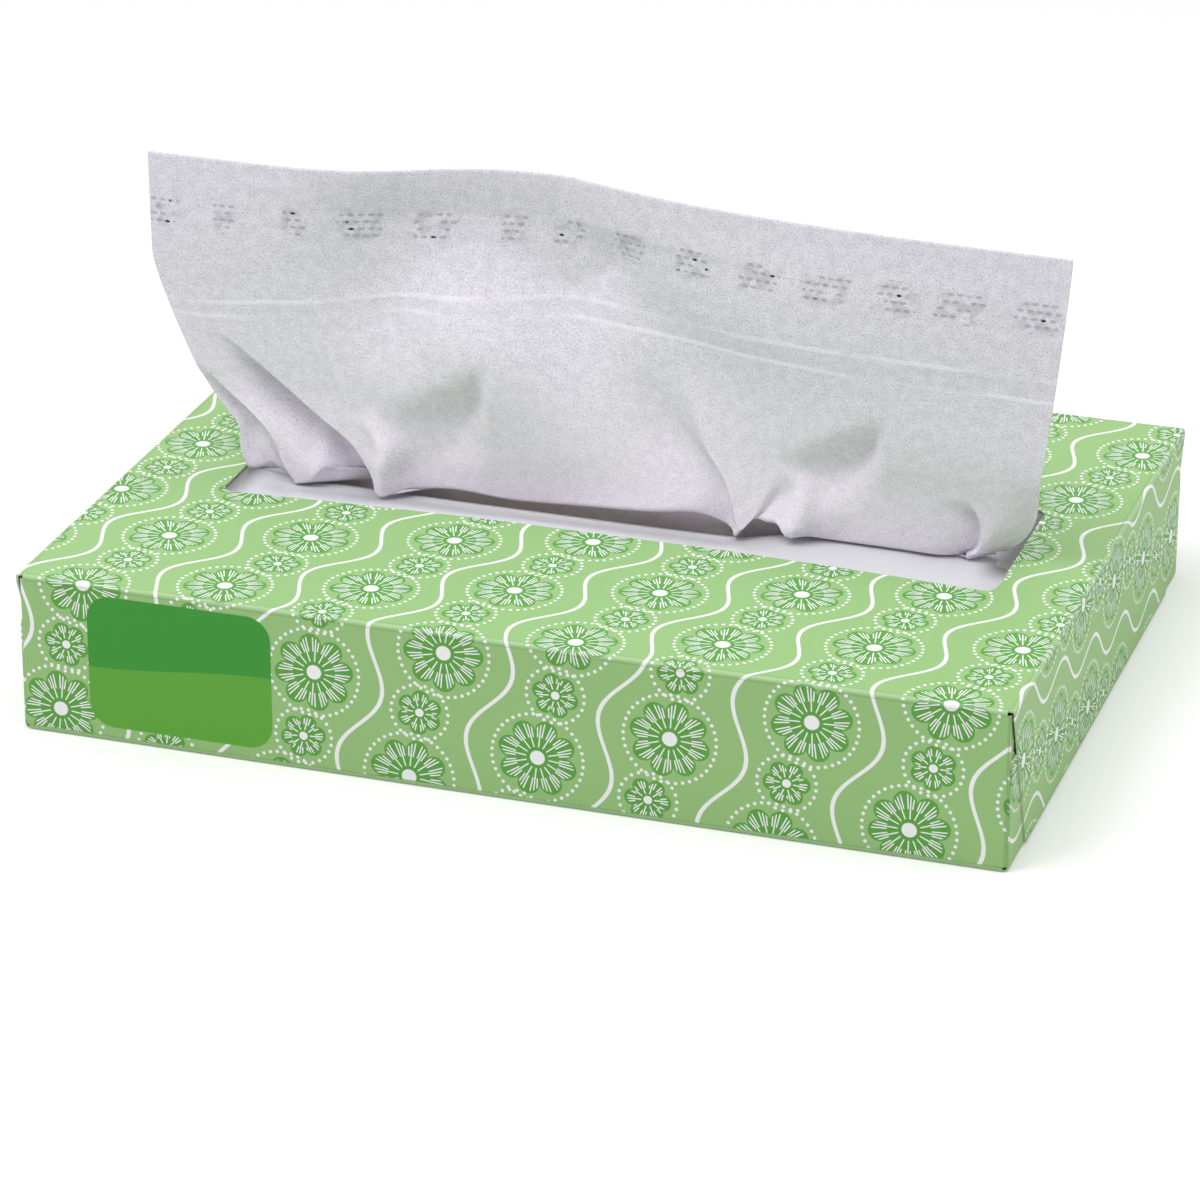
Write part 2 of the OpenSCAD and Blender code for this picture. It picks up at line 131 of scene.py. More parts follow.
class SlitFilm(bpy.types.PropertyGroup):
    tint: colour("Tint", "Milky body of the film", (0.82, 0.82, 0.86))
    # Painted shade: the film is darkened over the ends of the opening and under the tissue's right corner
    end_shade: colour("End tint", "Film over the dark ends of the opening", (0.10, 0.095, 0.105))
    haze: FloatProperty(name="Haze", description="How much the film hides what lies under it", default=0.76)
    thickness: length("Thickness", "Thickness of the film", 0.12 * MM)
    lip_sag: length("Lip sag", "How far the lips of the slit sag", 2.2 * MM)
    rings: IntProperty(name="Rings", description="Rings of faces from the outer edge to the slit", default=26)
    around: IntProperty(name="Around", description="Faces in one ring", default=280)


class PopUpTissue(bpy.types.PropertyGroup):
    paper: colour("Paper", "Cool white of the tissue", (0.910, 0.875, 0.960))
    shade: colour("Shade", "Grey of the thinner spots between the fibres", (0.590, 0.565, 0.645))
    # Painted light: a pinkish tone at the foot that takes back in part the green light bounced from the board
    foot: colour("Foot", "Tone that the tissue takes towards its foot", (0.880, 0.790, 0.895))
    pin_hole: colour("Pin-hole", "Dark pin-holes of the embossing", (0.02, 0.02, 0.02))
    # Painted shade: the clip's white tissues are coloured warm brown for the shade inside the carton
    inner: colour("Inner tissues", "Tissues in the shade of the carton", (0.88, 0.745, 0.52))
    width: length("Width", "Width of the tissue along the carton", 224 * MM)
    sheet_l: length("Length", "Length of the tissue when it lies flat", 200 * MM)
    thickness: length("Thickness", "Thickness of the two plies", 0.25 * MM)
    left_draw: length("Left draw", "How far the lower left side is drawn in", 24 * MM)
    right_draw: length("Right draw", "How far the right side is drawn in", 8 * MM)
    corner_r: length("Corner radius", "Radius of the rounded lower right corner", 13 * MM)
    crease_v: length("Crease", "Distance of the double cross crease from the top edge", 31 * MM)
    crease_w: length("Crease width", "Distance between the two lines of the crease", 5.2 * MM)
    emboss_v: length("Embossing", "Distance of the embossed band from the top edge", 15 * MM)
    rows: IntProperty(name="Rows", description="Rows of faces in the standing part", default=112)


class Studio(bpy.types.PropertyGroup):
    key_power: power("Key light", "Power of the light at the left", 7.4)
    end_power: power("End light", "Power of the light on the right end", 3.8)
    top_power: power("Top light", "Power of the overhead light", 10.5)
    sky: FloatProperty(name="Sky", description="Strength of the even light from all sides", default=0.45)
    floor: colour("Floor", "Pale floor", (0.82, 0.82, 0.82))
    floor_glow: FloatProperty(name="Floor glow", description="Light that the camera sees added", default=0.16)


# Shader nodes


class Field:
    """A number that varies over a surface: a shader node's output. Sums with it add nodes."""

    def __init__(self, tree, socket):
        self.tree = tree
        self.socket = socket

    def then(self, operation, *values):
        """This field put through one math node."""
        return math_node(self.tree, operation, self, *values)

    def __add__(self, other):
        return self.then("ADD", other)

    def __sub__(self, other):
        return self.then("SUBTRACT", other)

    def __rsub__(self, other):
        return math_node(self.tree, "SUBTRACT", other, self)

    def __mul__(self, other):
        return self.then("MULTIPLY", other)

    def __truediv__(self, other):
        return self.then("DIVIDE", other)

    def __abs__(self):
        return self.then("ABSOLUTE")


def put(tree, socket, value):
    """Links a socket to a field or to another socket, or sets the value on it."""
    source = value.socket if isinstance(value, Field) else value
    if isinstance(source, bpy.types.NodeSocket):
        tree.links.new(source, socket)
    else:
        socket.default_value = source


def math_node(tree, operation, *values):
    node = tree.nodes.new("ShaderNodeMath")
    node.operation = operation
    for socket, value in zip(node.inputs, values):
        put(tree, socket, value)
    return Field(tree, node.outputs[0])


def vector_node(tree, operation, *values):
    node = tree.nodes.new("ShaderNodeVectorMath")
    node.operation = operation
    for socket, value in zip(node.inputs, values):
        put(tree, socket, value)
    if operation in ("LENGTH", "DOT_PRODUCT"):
        return Field(tree, node.outputs["Value"])
    return node.outputs["Vector"]


def scaled(tree, vector, factor):
    node = tree.nodes.new("ShaderNodeVectorMath")
    node.operation = "SCALE"
    put(tree, node.inputs[0], vector)
    put(tree, node.inputs["Scale"], factor)
    return node.outputs["Vector"]


def parts_of(tree, vector):
    node = tree.nodes.new("ShaderNodeSeparateXYZ")
    put(tree, node.inputs[0], vector)
    return [Field(tree, socket) for socket in node.outputs]


def vector_of(tree, x, y, z=0.0):
    node = tree.nodes.new("ShaderNodeCombineXYZ")
    for socket, value in zip(node.inputs, (x, y, z)):
        put(tree, socket, value)
    return node.outputs[0]


def rise(tree, value, low, high, to_low=0.0, to_high=1.0):
    """Goes smoothly from to_low at low to to_high at high."""
    node = tree.nodes.new("ShaderNodeMapRange")
    node.interpolation_type = "SMOOTHSTEP"
    for socket, given in zip(node.inputs[:5], (value, low, high, to_low, to_high)):
        put(tree, socket, given)
    return Field(tree, node.outputs[0])


def fall(tree, value, low, high):
    """Goes smoothly from 1 at low to 0 at high."""
    return rise(tree, value, low, high, 1.0, 0.0)


def most(tree, *values):
    result = values[0]
    for value in values[1:]:
        result = math_node(tree, "MAXIMUM", result, value)
    return result


def blend_colour(tree, factor, a, b):
    node = tree.nodes.new("ShaderNodeMix")
    node.data_type = "RGBA"
    put(tree, node.inputs["Factor"], factor)
    for socket, value in zip([i for i in node.inputs if i.type == "RGBA"], (a, b)):
        put(tree, socket, value if isinstance(value, bpy.types.NodeSocket) else (*value, 1))
    return next(o for o in node.outputs if o.type == "RGBA")


def toned(shade, factor):
    """A colour made darker or lighter by a factor."""
    return [min(1, c * factor) for c in shade]


def noise(tree, vector, scale, detail=2.0, roughness=0.5):
    node = tree.nodes.new("ShaderNodeTexNoise")
    put(tree, node.inputs["Vector"], vector)
    node.inputs["Scale"].default_value = scale
    node.inputs["Detail"].default_value = detail
    node.inputs["Roughness"].default_value = roughness
    return Field(tree, node.outputs["Fac"])


def chance(tree, vector):
    """An even random number from 0 to 1 for each place."""
    node = tree.nodes.new("ShaderNodeTexWhiteNoise")
    node.noise_dimensions = "3D"
    put(tree, node.inputs["Vector"], vector)
    return Field(tree, node.outputs["Value"])


def bump(tree, height, distance, strength=1.0):
    node = tree.nodes.new("ShaderNodeBump")
    node.inputs["Strength"].default_value = strength
    node.inputs["Distance"].default_value = distance
    put(tree, node.inputs["Height"], height)
    return node.outputs["Normal"]


def group_tree(name, inputs, outputs):
    """A new node group, with {name: socket type} in and out: its tree, its given fields and its outputs."""
    tree = bpy.data.node_groups.new(name, "ShaderNodeTree")
    for socket, kind in inputs.items():
        tree.interface.new_socket(name=socket, in_out="INPUT", socket_type=kind)
    for socket, kind in outputs.items():
        tree.interface.new_socket(name=socket, in_out="OUTPUT", socket_type=kind)
    given = {socket.name: Field(tree, socket) for socket in tree.nodes.new("NodeGroupInput").outputs}
    return tree, given, tree.nodes.new("NodeGroupOutput").inputs


def use_group(tree, group, **values):
    """Puts a node group in a tree and returns its outputs by name, as fields."""
    node = tree.nodes.new("ShaderNodeGroup")
    node.node_tree = group
    for name, value in values.items():
        put(tree, node.inputs[name.capitalize()], value)
    return {socket.name: Field(tree, socket) for socket in node.outputs}


VALUE, VECTOR = "NodeSocketFloat", "NodeSocketVector"


def fibre_group():
    """Soft clouds, fine fibres and dark specks of pulp, from a place in millimetres."""
    group = bpy.data.node_groups.get("Pulp fibres")
    if group:
        return group
    tree, given, out = group_tree(
        "Pulp fibres", {"Place": VECTOR}, {"Cloud": VALUE, "Fibre": VALUE, "Speck": VALUE}
    )
    place = given["Place"]
    put(tree, out["Cloud"], rise(tree, noise(tree, place, 0.36, 3.0, 0.65), 0.3, 0.7))
    put(tree, out["Fibre"], rise(tree, noise(tree, place, 2.1, 2.0, 0.75), 0.32, 0.68))
    elsewhere = vector_node(tree, "ADD", place, (31.0, 7.0, 3.0))
    put(tree, out["Speck"], rise(tree, noise(tree, elsewhere, 2.0, 1.0), 0.63, 0.73))
    return tree


def rosette_group():
    """One round flower of the print, from a place in millimetres measured from its heart."""
    group = bpy.data.node_groups.get("Rosette")
    if group:
        return group
    tree, given, out = group_tree(
        "Rosette",
        {"Place": VECTOR, "Turn": VALUE, "Radius": VALUE, "Petals": VALUE, "Spokes": VALUE, "Dots": VALUE},
        {"Petal": VALUE, "White": VALUE},
    )
    x, y, _ = parts_of(tree, given["Place"])
    r = vector_node(tree, "LENGTH", given["Place"])
    radius = given["Radius"]
    way_out = r / radius
    angle = y.then("ARCTAN2", x) + given["Turn"]
    lobes = abs((angle * given["Petals"] * 0.5).then("COSINE")).then("POWER", 0.55)
    in_by = (lobes * 0.3 + 0.7) * radius - r

    def gap_to(count, at):
        """Distance along a circle of radius at to the nearest of count even rays."""
        share = (angle * (count / math.tau)).then("FRACT")
        return abs(share - 0.5) * (at * math.tau / count)

    def spokes(count, start):
        """Thin rays that start at a share of the radius."""
        return fall(tree, gap_to(count, r), 0.09, 0.22) * rise(tree, way_out, start, start + 0.04)

    rays = most(tree, spokes(given["Spokes"], 0.52), spokes(given["Spokes"] * 0.5, 0.26))
    rays = rays * rise(tree, in_by, 0.5, 0.9)
    heart = fall(tree, way_out, 0.17, 0.20)
    ring = radius + 1.3
    from_dot = vector_node(tree, "LENGTH", vector_of(tree, gap_to(given["Dots"], ring), r - ring))
    put(tree, out["Petal"], rise(tree, in_by, -0.12, 0.12))
    put(tree, out["White"], most(tree, rays, heart, fall(tree, from_dot, 0.34, 0.50)))
    return tree


def new_material(name):
    """An empty material, its tree and its Principled shader."""
    material = bpy.data.materials.new(name)
    material.use_nodes = True
    tree = material.node_tree
    shader = next(n for n in tree.nodes if n.type == "BSDF_PRINCIPLED")
    return material, tree, shader


def outer_skin(tree, place):
    """How far a place lies out past the carton's flat middle on each axis, and how much it faces out."""
    flat_half = Vector((CARTON_L / 2, CARTON_W / 2, CARTON_H / 2)) - Vector.Fill(3, FOLD_R * 1.6)
    from_middle = vector_node(tree, "SUBTRACT", place, (0, 0, CARTON_H / 2))
    beyond = vector_node(tree, "SUBTRACT", vector_node(tree, "ABSOLUTE", from_middle), tuple(flat_half))
    beyond = vector_node(tree, "MAXIMUM", beyond, (0.0, 0.0, 0.0))
    outward = vector_node(tree, "MULTIPLY", beyond, vector_node(tree, "SIGN", from_middle))
    normal = tree.nodes.new("ShaderNodeNewGeometry").outputs["Normal"]
    return beyond, vector_node(tree, "DOT_PRODUCT", vector_node(tree, "NORMALIZE", outward), normal)


def unfolded(tree, x, y, z, on_end):
    """Place in millimetres on the board, with its four sides folded out beside the top."""
    down = CARTON_H - z
    u = down * on_end * x.then("SIGN") + x
    v = down * (1.0 - on_end) * y.then("SIGN") + y
    return scaled(tree, vector_of(tree, u, v), 1 / MM)


def rosette_print(tree, look, place):
    """Columns of large and small rosettes, with a wavy vine between two columns."""
    turn = tree.nodes.new("ShaderNodeMapping")
    turn.inputs["Rotation"].default_value = (0, 0, look.print_turn)
    turn.inputs["Location"].default_value = (look.print_shift_u / MM, look.print_shift_v / MM, 0)
    put(tree, turn.inputs["Vector"], place)
    pu, pv, _ = parts_of(tree, turn.outputs[0])
    columns, rows = look.column_pitch / MM, look.row_pitch / MM
    column = (pu / columns).then("FLOOR")
    aside = ((pu / columns).then("FRACT") - 0.5) * columns
    # Every second column starts half a row higher
    way_up = pv / rows + column.then("FLOORED_MODULO", 2.0) * 0.5

    def lattice(shift, sway, radius, petals, spokes, dots):
        """One rosette in each cell, moved up by a share of a row and aside by chance."""
        along = way_up + shift
        lot = chance(tree, vector_of(tree, column, along.then("FLOOR"), shift))
        from_heart = vector_of(tree, (lot - 0.5) * sway + aside, (along.then("FRACT") - 0.5) * rows)
        return use_group(
            tree, rosette_group(), place=from_heart, turn=lot * math.tau,
            radius=radius / MM, petals=petals, spokes=spokes, dots=dots,
        )

    large = lattice(0.0, 2.0, look.rosette_r, 8.0, 32.0, 40.0)
    small = lattice(0.5, 5.0, look.bud_r, 6.0, 20.0, 24.0)
    # The vine sways away from the large rosettes at its sides
    vine_aside = ((way_up + 0.5) * math.tau).then("COSINE") * (look.vine_sway / MM) + columns / 2
    half_vine = look.vine_w / MM / 2
    vine = fall(tree, abs(abs(aside) - vine_aside), half_vine - 0.08, half_vine + 0.08)
    green = blend_colour(tree, most(tree, large["Petal"], small["Petal"]), look.ground, look.petal)
    return blend_colour(tree, most(tree, large["White"], small["White"], vine), green, look.white)


def badge_masks(tree, look, x, y, z):
    """The plain two-tone panel on the front face: where it is, and where its lower field is."""
    dx, dz = x - look.badge_x, z - look.badge_z
    out_x = most(tree, abs(dx) - (look.badge_w / 2 - look.badge_r), 0.0)
    out_z = most(tree, abs(dz) - (look.badge_h / 2 - look.badge_r), 0.0)
    reach = vector_node(tree, "LENGTH", vector_of(tree, out_x, out_z))
    inside = fall(tree, reach, look.badge_r - 0.08 * MM, look.badge_r + 0.08 * MM)
    front = y.then("LESS_THAN", -CARTON_W / 2 + FOLD_R * 0.5)
    wave = (dx * 70.0).then("SINE") * look.badge_wave
    return inside * front, fall(tree, dz - wave, -0.15 * MM, 0.15 * MM)


def fold_highlight_and_shade(tree, look, art, beyond):
    """Along a fold a painted highlight makes the ink a little lighter, with a thin grey line of painted shade
    below it.
    """
    bx, by, bz = parts_of(tree, beyond)
    second = most(tree, bx.then("MINIMUM", bz), by.then("MINIMUM", bz), bx.then("MINIMUM", by))
    # Painted highlight: the fold's rounded arc is lightened towards white
    art = blend_colour(tree, rise(tree, second, 0.5 * MM, 0.9 * MM, 0.0, 0.12), art, look.white)
    # Painted shade: a thin grey line just below the fold
    line = rise(tree, abs(second - 0.2 * MM), 0.08 * MM, 0.2 * MM, 0.25, 0.0)
    return blend_colour(tree, line, art, look.fold_shade_line)


def carton_material(look):
    """Printed board: green ground with rosettes outside, raw board inside and at its cut edges."""
    material, tree, shader = new_material("printed_board")
    place = tree.nodes.new("ShaderNodeTexCoord").outputs["Object"]
    x, y, z = parts_of(tree, place)
    beyond, facing = outer_skin(tree, place)
    bx, by, _ = parts_of(tree, beyond)
    art = rosette_print(tree, look, unfolded(tree, x, y, z, bx.then("GREATER_THAN", by)))
    # The bottom panel has the plain ground
    art = blend_colour(tree, fall(tree, z, 1.0 * MM, 1.5 * MM), art, look.ground)
    badge, lower = badge_masks(tree, look, x, y, z)
    art = blend_colour(tree, badge, art, blend_colour(tree, lower, look.badge_upper, look.badge_lower))
    art = fold_highlight_and_shade(tree, look, art, beyond)

    fibre = use_group(tree, fibre_group(), place=scaled(tree, place, 1 / MM))
    raw = blend_colour(tree, fibre["Cloud"], toned(look.board, 0.82), look.board)
    # Light green at the outer cut edges: the ink that reaches over, lightened as a painted highlight along
    # the corners
    near_skin = rise(tree, vector_node(tree, "LENGTH", beyond), 1.0 * MM, 1.1 * MM)
    raw = blend_colour(tree, near_skin, raw, look.cut_edge_ink_and_highlight)
    printed = rise(tree, facing, 0.40, 0.50)
    put(tree, shader.inputs["Base Color"], blend_colour(tree, printed, raw, art))
    put(tree, shader.inputs["Roughness"], rise(tree, printed, 0.0, 1.0, 0.9, 0.46))
    put(tree, shader.inputs["Normal"], bump(tree, fibre["Fibre"], 0.02 * MM, 0.6))
    shader.inputs["Specular IOR Level"].default_value = 0.3
    return material


def film_material(look):
    """Glossy, slightly milky film, with painted shade towards the ends of the opening."""
    material, tree, shader = new_material("clear_film")
    place = tree.nodes.new("ShaderNodeTexCoord").outputs["Object"]
    x, y, _ = parts_of(tree, place)
    left, right = OPENING_SHIFT - OPENING_L / 2, OPENING_SHIFT + OPENING_L / 2
    # Painted shade at the opening's ends; at the right end it grows towards the back, under the tissue's
    # corner
    left_end_shade = rise(tree, x, left, left + 7 * MM, 0.9, 0.0)
    right_end_shade = rise(tree, x, right - 9 * MM, right - 1 * MM) * rise(tree, y, -20 * MM, -9 * MM, 0.12, 0.95)
    tint = blend_colour(tree, most(tree, left_end_shade, right_end_shade), look.tint, look.end_shade)
    put(tree, shader.inputs["Base Color"], tint)
    shader.inputs["Alpha"].default_value = look.haze
    shader.inputs["Roughness"].default_value = 0.12
    shader.inputs["IOR"].default_value = 1.55
    drawn_out = vector_node(tree, "MULTIPLY", scaled(tree, place, 1 / MM), (0.35, 1.0, 1.0))
    put(tree, shader.inputs["Normal"], bump(tree, noise(tree, drawn_out, 0.09), 0.5 * MM, 0.5))
    return material


def paper_material(name, light, dark, place_from):
    """Soft two-ply tissue paper. place_from gives the material's place in millimetres from its tree."""
    material, tree, shader = new_material(name)
    place = place_from(tree)
    fibre = use_group(tree, fibre_group(), place=place)
    paper = blend_colour(tree, fibre["Cloud"] * 0.32 + fibre["Fibre"] * 0.68, dark, light)
    paper = blend_colour(tree, fibre["Speck"] * 0.5, paper, toned(dark, 0.35))
    shader.inputs["Roughness"].default_value = 0.92
    shader.inputs["Specular IOR Level"].default_value = 0.15
    return material, tree, shader, place, fibre, paper


def object_millimetres(tree):
    return scaled(tree, tree.nodes.new("ShaderNodeTexCoord").outputs["Object"], 1 / MM)


def sheet_millimetres(tree):
    return scaled(tree, tree.nodes.new("ShaderNodeTexCoord").outputs["UV"], 1 / MM)


def clip_material(look):
    """The clip's inner tissues: white paper coloured warm brown as painted shade for the carton's dark
    inside.
    """
    material, tree, shader, _, fibre, paper = paper_material(
        "clip_shaded_paper", look.inner, toned(look.inner, 0.85), object_millimetres
    )
    put(tree, shader.inputs["Base Color"], paper)
    put(tree, shader.inputs["Normal"], bump(tree, fibre["Fibre"], 0.08 * MM))
    return material


def embossing(tree, look, place):
    """The band of pressed dashes that bonds the two plies: dashes, pin-holes and grey smudges."""
    cluster_pitch, dash_pitch, row_pitch = 16.5, 2.2, 1.85
    dash_half_l, dash_half_w = 0.8, 0.42
    u, v, _ = parts_of(tree, place)
    sway = noise(tree, vector_of(tree, u * 0.02, 4.0), 1.0) * 2.0
    from_band = v - (look.emboss_v / MM - 1.0) - sway
    # The dashes stand in clusters, a little wider in the sheet's middle and right
    clump = noise(tree, vector_of(tree, u * 0.085, 1.7), 1.0, 1.0)
    spaced = (clump * 0.7 + u / cluster_pitch).then("FRACT")
    wider = rise(tree, u, 90.0, 140.0, 0.0, 0.08)
    band = fall(tree, abs(from_band), 2.6, 5.2) * fall(tree, abs(spaced - 0.5) - wider, 0.12, 0.34)
    # One dash to a cell, and every row of cells half a cell on
    cell_v = from_band / row_pitch
    row = cell_v.then("FLOOR")
    cell_u = row * 0.5 + u / dash_pitch
    dense = band * 0.9 + chance(tree, vector_of(tree, cell_u.then("FLOOR"), row))
    along = (cell_u.then("FRACT") - 0.5) * (dash_pitch / dash_half_l)
    across = (cell_v.then("FRACT") - 0.5) * (row_pitch / dash_half_w)
    far = vector_node(tree, "LENGTH", vector_of(tree, along, across))
    dash = fall(tree, far, 0.7, 1.2) * rise(tree, dense, 1.0, 1.2)
    pin = fall(tree, far, 0.5, 0.85) * dense.then("GREATER_THAN", 1.75)
    smudge = noise(tree, vector_node(tree, "ADD", place, (0.0, 90.0, 0.0)), 0.3, 1.0)
    return dash, pin, rise(tree, smudge, 0.45, 0.58) * band


def crease_lines(tree, look, place):
    """The cross crease: its two light lines, a painted highlight on its ridges, clear in some stretches only,
    and the field between them, which takes a little painted shade.
    """
    waver_high, field_edge = 3.0, 1.5
    u, v, _ = parts_of(tree, place)
    middle = rise(tree, u, 8.0, 70.0, 6.0, 0.0) + (look.crease_v + look.crease_w / 2) / MM
    waver = noise(tree, vector_of(tree, u * 0.03, 9.0), 1.0, 1.0) * waver_high
    from_middle = abs(v - (waver + (middle - waver_high / 2)))
    half = rise(tree, u, 30.0, 190.0, 0.70, 1.05) * (look.crease_w / MM / 2)
    clear = noise(tree, vector_node(tree, "MULTIPLY", place, (0.035, 0.16, 0.0)), 1.0, 1.0)
    clear = clear + rise(tree, u, 120.0, 170.0, 0.0, 0.06)
    line = fall(tree, abs(from_middle - half), 0.2, 0.9) * rise(tree, clear, 0.42, 0.60, 0.12, 1.0)
    return line, fall(tree, from_middle, half - field_edge, half)


def tissue_material(look):
    """The pop-up tissue: pulp, the embossed band and the double crease, with painted highlight and shade at
    the crease and a painted tone at the foot.
    """
    material, tree, shader, place, fibre, paper = paper_material(
        "tissue_paper", look.paper, look.shade, sheet_millimetres
    )
    foot_counter_tint = rise(tree, parts_of(tree, place)[1], 30.0, 72.0, 0.0, 0.3)
    dash, pin, smudge = embossing(tree, look, place)
    line, between = crease_lines(tree, look, place)
    # Painted light: towards the foot the paper takes a pinkish tone that takes back in part the green light
    # which the board bounces onto the sheet
    for strength, tone in (
        (foot_counter_tint, look.foot),
        # Painted shade in the field between the crease lines, and a painted highlight on the lines themselves
        (between * 0.10, look.shade),
        (line * 0.5, toned(look.paper, 1.06)),
        (smudge * 0.42, toned(look.shade, 0.72)),
        (dash * 0.5, toned(look.shade, 0.55)),
        (pin, look.pin_hole),
    ):
        paper = blend_colour(tree, strength, paper, tone)
    put(tree, shader.inputs["Base Color"], paper)
    height = fibre["Fibre"] * 0.4 + line * 0.7 - dash
    put(tree, shader.inputs["Normal"], bump(tree, height, 0.10 * MM))
    return material


def dress(piece, material):
    piece.data.materials.clear()
    piece.data.materials.append(material)


def add_piece(name, mesh):
    piece = bpy.data.objects.new(name, mesh)
    bpy.context.scene.collection.objects.link(piece)
    return piece


# Forms shared by the sheet's folds


def smooth(low, high, x):
    u = np.clip((x - low) / (high - low), 0, 1)
    return u * u * (3 - 2 * u)


def mix(a, b, u):
    return a + (b - a) * u


def bell(x):
    return np.exp(-x * x)


class FilmForm:
    """Where the film lies: flat under the panel, sagging to the lips of its slit."""

    # The lips sag fully at this distance from the opening's ends
    end_run = 16 * MM
    # The tissue's right half holds the lips up: share of the sag, and where that starts and is full
    lift = 1.12
    lift_run = (25 * MM, 45 * MM)
    # Nearer to the right end it holds them up a little less
    end_lift = 0.85
    ease_run = (68 * MM, 76 * MM)
    # The slit's ends, from nearly square at the left to pointed at the right
    left_fullness, right_fullness = 0.35, 1.2
    # The film's outer corners lie at this angle round the slit
    corner_angle = math.radians(17)

    def __init__(self, look):
        self.look = look
        self.half_l = (FILM_HIGH.x - FILM_LOW.x) / 2
        self.half_w = (FILM_HIGH.y - FILM_LOW.y) / 2
        rise_of_edge = (OPENING_END_W - OPENING_WAIST_W) / 2
        self.waist_r = ((OPENING_L / 2) ** 2 + rise_of_edge**2) / (2 * rise_of_edge)

    def opening_half(self, x):
        return self.waist_r + OPENING_WAIST_W / 2 - np.sqrt(self.waist_r**2 - x**2)

    def sag(self, x, y):
        inner = self.opening_half(np.minimum(np.abs(x), OPENING_L / 2))
        in_by = smooth(0, 1, (inner - np.abs(y)) / (inner - SLIT_GAP / 2))
        from_end = smooth(0, 1, (OPENING_L / 2 - np.abs(x)) / self.end_run)
        lifted = smooth(*self.lift_run, x) * mix(1, self.end_lift, smooth(*self.ease_run, x))
        return self.look.lip_sag * in_by * from_end * (1 - self.lift * lifted)

    def place(self, angle, w):
        """Point at an angle round the slit, w of the way from the film's outer edge to its lip."""
        out_x = self.half_l * np.clip(np.cos(angle) / math.cos(self.corner_angle), -1, 1)
        out_y = self.half_w * np.clip(np.sin(angle) / math.sin(self.corner_angle), -1, 1)
        x = mix(out_x, SLIT_L / 2 * np.cos(angle), w)
        fullness = np.where(np.cos(angle) < 0, self.left_fullness, self.right_fullness)
        lip_y = SLIT_GAP / 2 * np.sign(np.sin(angle)) * np.abs(np.sin(angle)) ** fullness
        y = mix(out_y, lip_y, w)
        return np.stack([x + OPENING_SHIFT, y, FILM_HIGH.z - self.sag(x, y)], -1)


